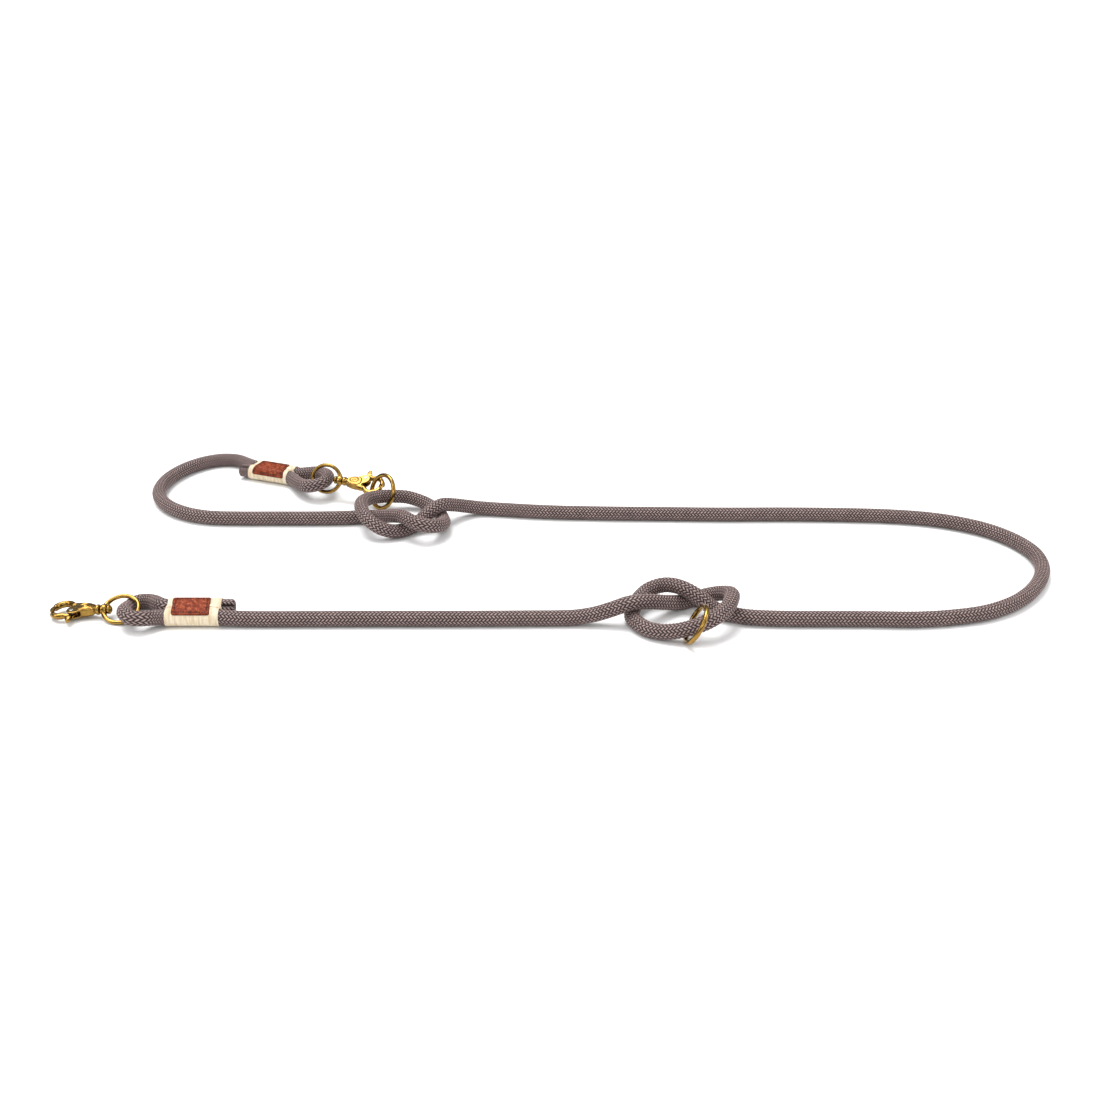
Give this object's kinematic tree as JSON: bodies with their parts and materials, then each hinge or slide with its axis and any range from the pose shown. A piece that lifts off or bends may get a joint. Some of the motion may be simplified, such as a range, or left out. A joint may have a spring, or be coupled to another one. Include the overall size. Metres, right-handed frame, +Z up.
{
  "type": "training leash",
  "caption": "Adjustable braided rope training leash with knotted-in O-rings and a swivel trigger hook at each end, laid out flat with the handle end clipped back into a loop.",
  "frame": {"origin": "middle of the footprint, on the surface that the leash lies on", "axes": "+X along the longest side, from the handle loop and both hooks to the far bend; +Y away from the viewer, to the handle's side; +Z up"},
  "size_m": [0.6765, 0.3288, 0.0271],
  "materials": {
    "braided_rope": "braided, matt",
    "waxed_twine": "waxed, wound tight",
    "leather": "smooth grain, satin",
    "dark_thread": "waxed stitches",
    "polished_brass": "polished casting",
    "spring_steel": "plain"
  },
  "bodies": {
    "rope": {"rope_clip_eye": "braided_rope", "rope_lower_run": "braided_rope", "rope_lower_knot": "braided_rope", "rope_long_span": "braided_rope", "rope_upper_knot": "braided_rope", "rope_handle_loop": "braided_rope", "rope_handle_eye": "braided_rope", "lower_whipping": "waxed_twine", "lower_patch": "leather", "lower_patch_thread": "dark_thread", "upper_whipping": "waxed_twine", "upper_patch": "leather", "upper_patch_thread": "dark_thread"},
    "clip_eye": {"clip_swivel_eye": "polished_brass"},
    "clip_hook": {"clip_hook_body": "polished_brass", "clip_swivel_rivet": "polished_brass", "clip_gate_pin": "spring_steel", "clip_gate_spring": "spring_steel"},
    "clip_jaw": {"clip_gate": "polished_brass"},
    "handle_eye": {"handle_swivel_eye": "polished_brass"},
    "handle_hook": {"handle_hook_body": "polished_brass", "handle_swivel_rivet": "polished_brass", "handle_gate_pin": "spring_steel", "handle_gate_spring": "spring_steel"},
    "handle_jaw": {"handle_gate": "polished_brass"},
    "lower_ring": {"lower_ring": "polished_brass"},
    "upper_ring": {"upper_ring": "polished_brass"}
  },
  "joints": [
    {"name": "clip_eye_tip", "type": "hinge", "parent": "rope", "child": "clip_eye", "pos_m": [-0.2882, -0.11705, 0.0072], "axis": [0, -0.9404, 0.3401], "range_deg": [-15, 3]},
    {"name": "clip_swivel", "type": "hinge", "parent": "clip_eye", "child": "clip_hook", "pos_m": [-0.3023, -0.11505, 0.006], "axis": [-0.9937, 0.0939, -0.061], "continuous": true},
    {"name": "clip_gate_pivot", "type": "hinge", "parent": "clip_hook", "child": "clip_jaw", "pos_m": [-0.32261, -0.11794, 0.00453], "axis": [-0.0656, -0.0464, 0.9968], "range_deg": [0, 28], "stiffness_Nm_per_rad": 0.015, "springref_deg": -28.65},
    {"name": "handle_eye_tip", "type": "hinge", "parent": "rope", "child": "handle_eye", "pos_m": [-0.184, 0.09065, 0.0141], "axis": [-0.2799, -0.9596, 0.03], "range_deg": [-2, 2]},
    {"name": "handle_swivel", "type": "hinge", "parent": "handle_eye", "child": "handle_hook", "pos_m": [-0.1724, 0.08655, 0.0158], "axis": [0.9513, -0.3073, -0.0262], "range_deg": [-8, 3]},
    {"name": "handle_gate_pivot", "type": "hinge", "parent": "handle_hook", "child": "handle_jaw", "pos_m": [-0.15195, 0.08468, 0.01692], "axis": [-0.0817, -0.333, 0.9394], "range_deg": [0, 28], "stiffness_Nm_per_rad": 0.015, "springref_deg": -28.65},
    {"name": "lower_ring_swing", "type": "hinge", "parent": "rope", "child": "lower_ring", "pos_m": [0.0811, -0.14905, 0.011], "axis": [-0.9552, -0.0995, -0.2786], "range_deg": [-6, 30]},
    {"name": "upper_ring_swing", "type": "hinge", "parent": "rope", "child": "upper_ring", "pos_m": [-0.1378, 0.06745, 0.0115], "axis": [0.8818, 0.4609, -0.1002], "range_deg": [-3, 2]}
  ]
}
